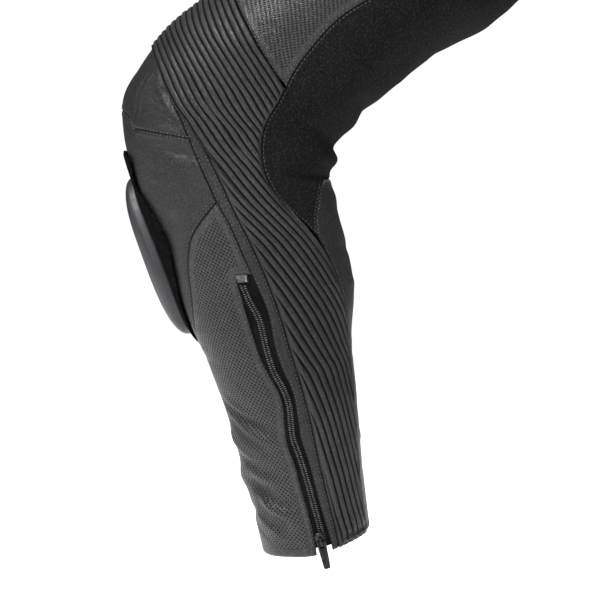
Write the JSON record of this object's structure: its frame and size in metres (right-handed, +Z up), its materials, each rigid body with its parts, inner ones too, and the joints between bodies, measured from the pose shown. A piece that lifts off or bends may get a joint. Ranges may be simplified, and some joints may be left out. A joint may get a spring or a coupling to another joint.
{
  "type": "leather motorcycle trousers",
  "caption": "Leather riding trousers in a bent-knee pose, with ribbed stretch inserts, hard knee sliders, perforated panels, stretch cloth behind the knees and a zip at each hem.",
  "frame": {"origin": "centre of the waist opening, level with the waistband's upper edge", "axes": "+Z up the wearer's body, -Y the way the wearer faces, +X towards the wearer's left leg"},
  "size_m": [0.7214, 0.4867, 0.8362],
  "materials": {
    "leather": "satin, fine grain",
    "perforated_leather": "satin with rows of small holes",
    "ribbed_leather": "satin, ribbed",
    "stretch_cloth": "matte weave",
    "hook_and_loop": "matte short pile",
    "zip_coil_and_tape": "matte tape with a satin coil",
    "slider_plastic": "smooth",
    "dark_zinc": "dark plated",
    "nickel": "plated"
  },
  "bodies": {
    "root": {"fly_placket": "leather", "waist_tab": "leather", "waist_snap": "nickel", "right_front_thigh": "perforated_leather", "right_seat": "leather", "right_stretch": "stretch_cloth", "right_calf_back": "leather", "right_calf_outer": "leather", "right_strip": "leather", "right_knee_upper": "leather", "right_knee_front": "leather", "right_knee_lower": "leather", "right_shin_perforated": "perforated_leather", "right_waistband": "leather", "right_accordion": "ribbed_leather", "right_zip": "zip_coil_and_tape", "right_slider_patch": "hook_and_loop", "right_knee_slider": "slider_plastic", "right_zip_end_tab": "leather", "right_zip_slider": "dark_zinc", "left_front_thigh": "perforated_leather", "left_seat": "leather", "left_stretch": "stretch_cloth", "left_calf_back": "leather", "left_calf_outer": "leather", "left_strip": "leather", "left_knee_upper": "leather", "left_knee_front": "leather", "left_knee_lower": "leather", "left_shin_perforated": "perforated_leather", "left_waistband": "leather", "left_accordion": "ribbed_leather", "left_zip": "zip_coil_and_tape", "left_slider_patch": "hook_and_loop", "left_knee_slider": "slider_plastic", "left_zip_end_tab": "leather", "left_zip_slider": "dark_zinc"},
    "right_pull": {"right_zip_pull": "dark_zinc"},
    "left_pull": {"left_zip_pull": "dark_zinc"}
  },
  "joints": [
    {"name": "right_pull_hinge", "type": "hinge", "parent": "root", "child": "right_pull", "pos_m": [-0.18164, -0.21785, -0.79078], "axis": [-0.4764, -0.8427, -0.2507], "range_deg": [-4, 174]},
    {"name": "left_pull_hinge", "type": "hinge", "parent": "root", "child": "left_pull", "pos_m": [0.18164, -0.21785, -0.79078], "axis": [-0.4764, 0.8427, 0.2507], "range_deg": [-4, 174]}
  ]
}
